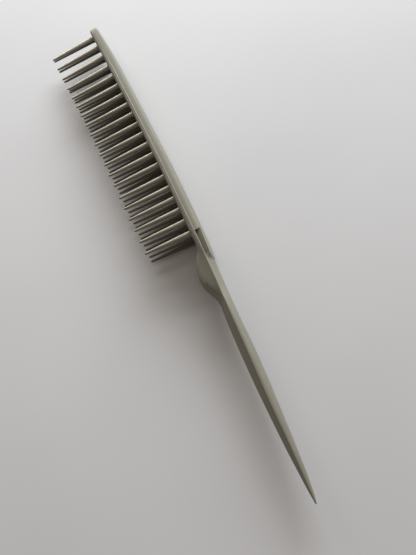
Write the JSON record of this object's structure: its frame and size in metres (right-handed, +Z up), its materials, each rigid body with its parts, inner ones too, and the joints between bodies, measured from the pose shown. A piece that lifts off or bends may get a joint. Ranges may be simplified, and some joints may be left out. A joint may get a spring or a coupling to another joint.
{
  "type": "rat tail teasing comb",
  "caption": "Teasing comb with rows of tapered teeth under a boat-shaped head, a finger lobe behind them and a long pointed rat tail.",
  "frame": {"origin": "bottom centre of the bounding box of the comb lying on its side", "axes": "+X along the comb from the head's nose to the tail's tip, teeth pointing along -Y, back of the head towards +Y, +Z up through the side it lies on"},
  "size_m": [0.235, 0.0256, 0.0112],
  "materials": {
    "handle_plastic": "satin moulded",
    "shell_plastic": "satin moulded",
    "strip_plastic": "satin moulded"
  },
  "bodies": {
    "root": {"handle_body": "handle_plastic", "back_shell": "shell_plastic", "tooth_strip_near": "strip_plastic", "tooth_strip_middle": "strip_plastic", "tooth_strip_far": "strip_plastic"}
  },
  "joints": []
}
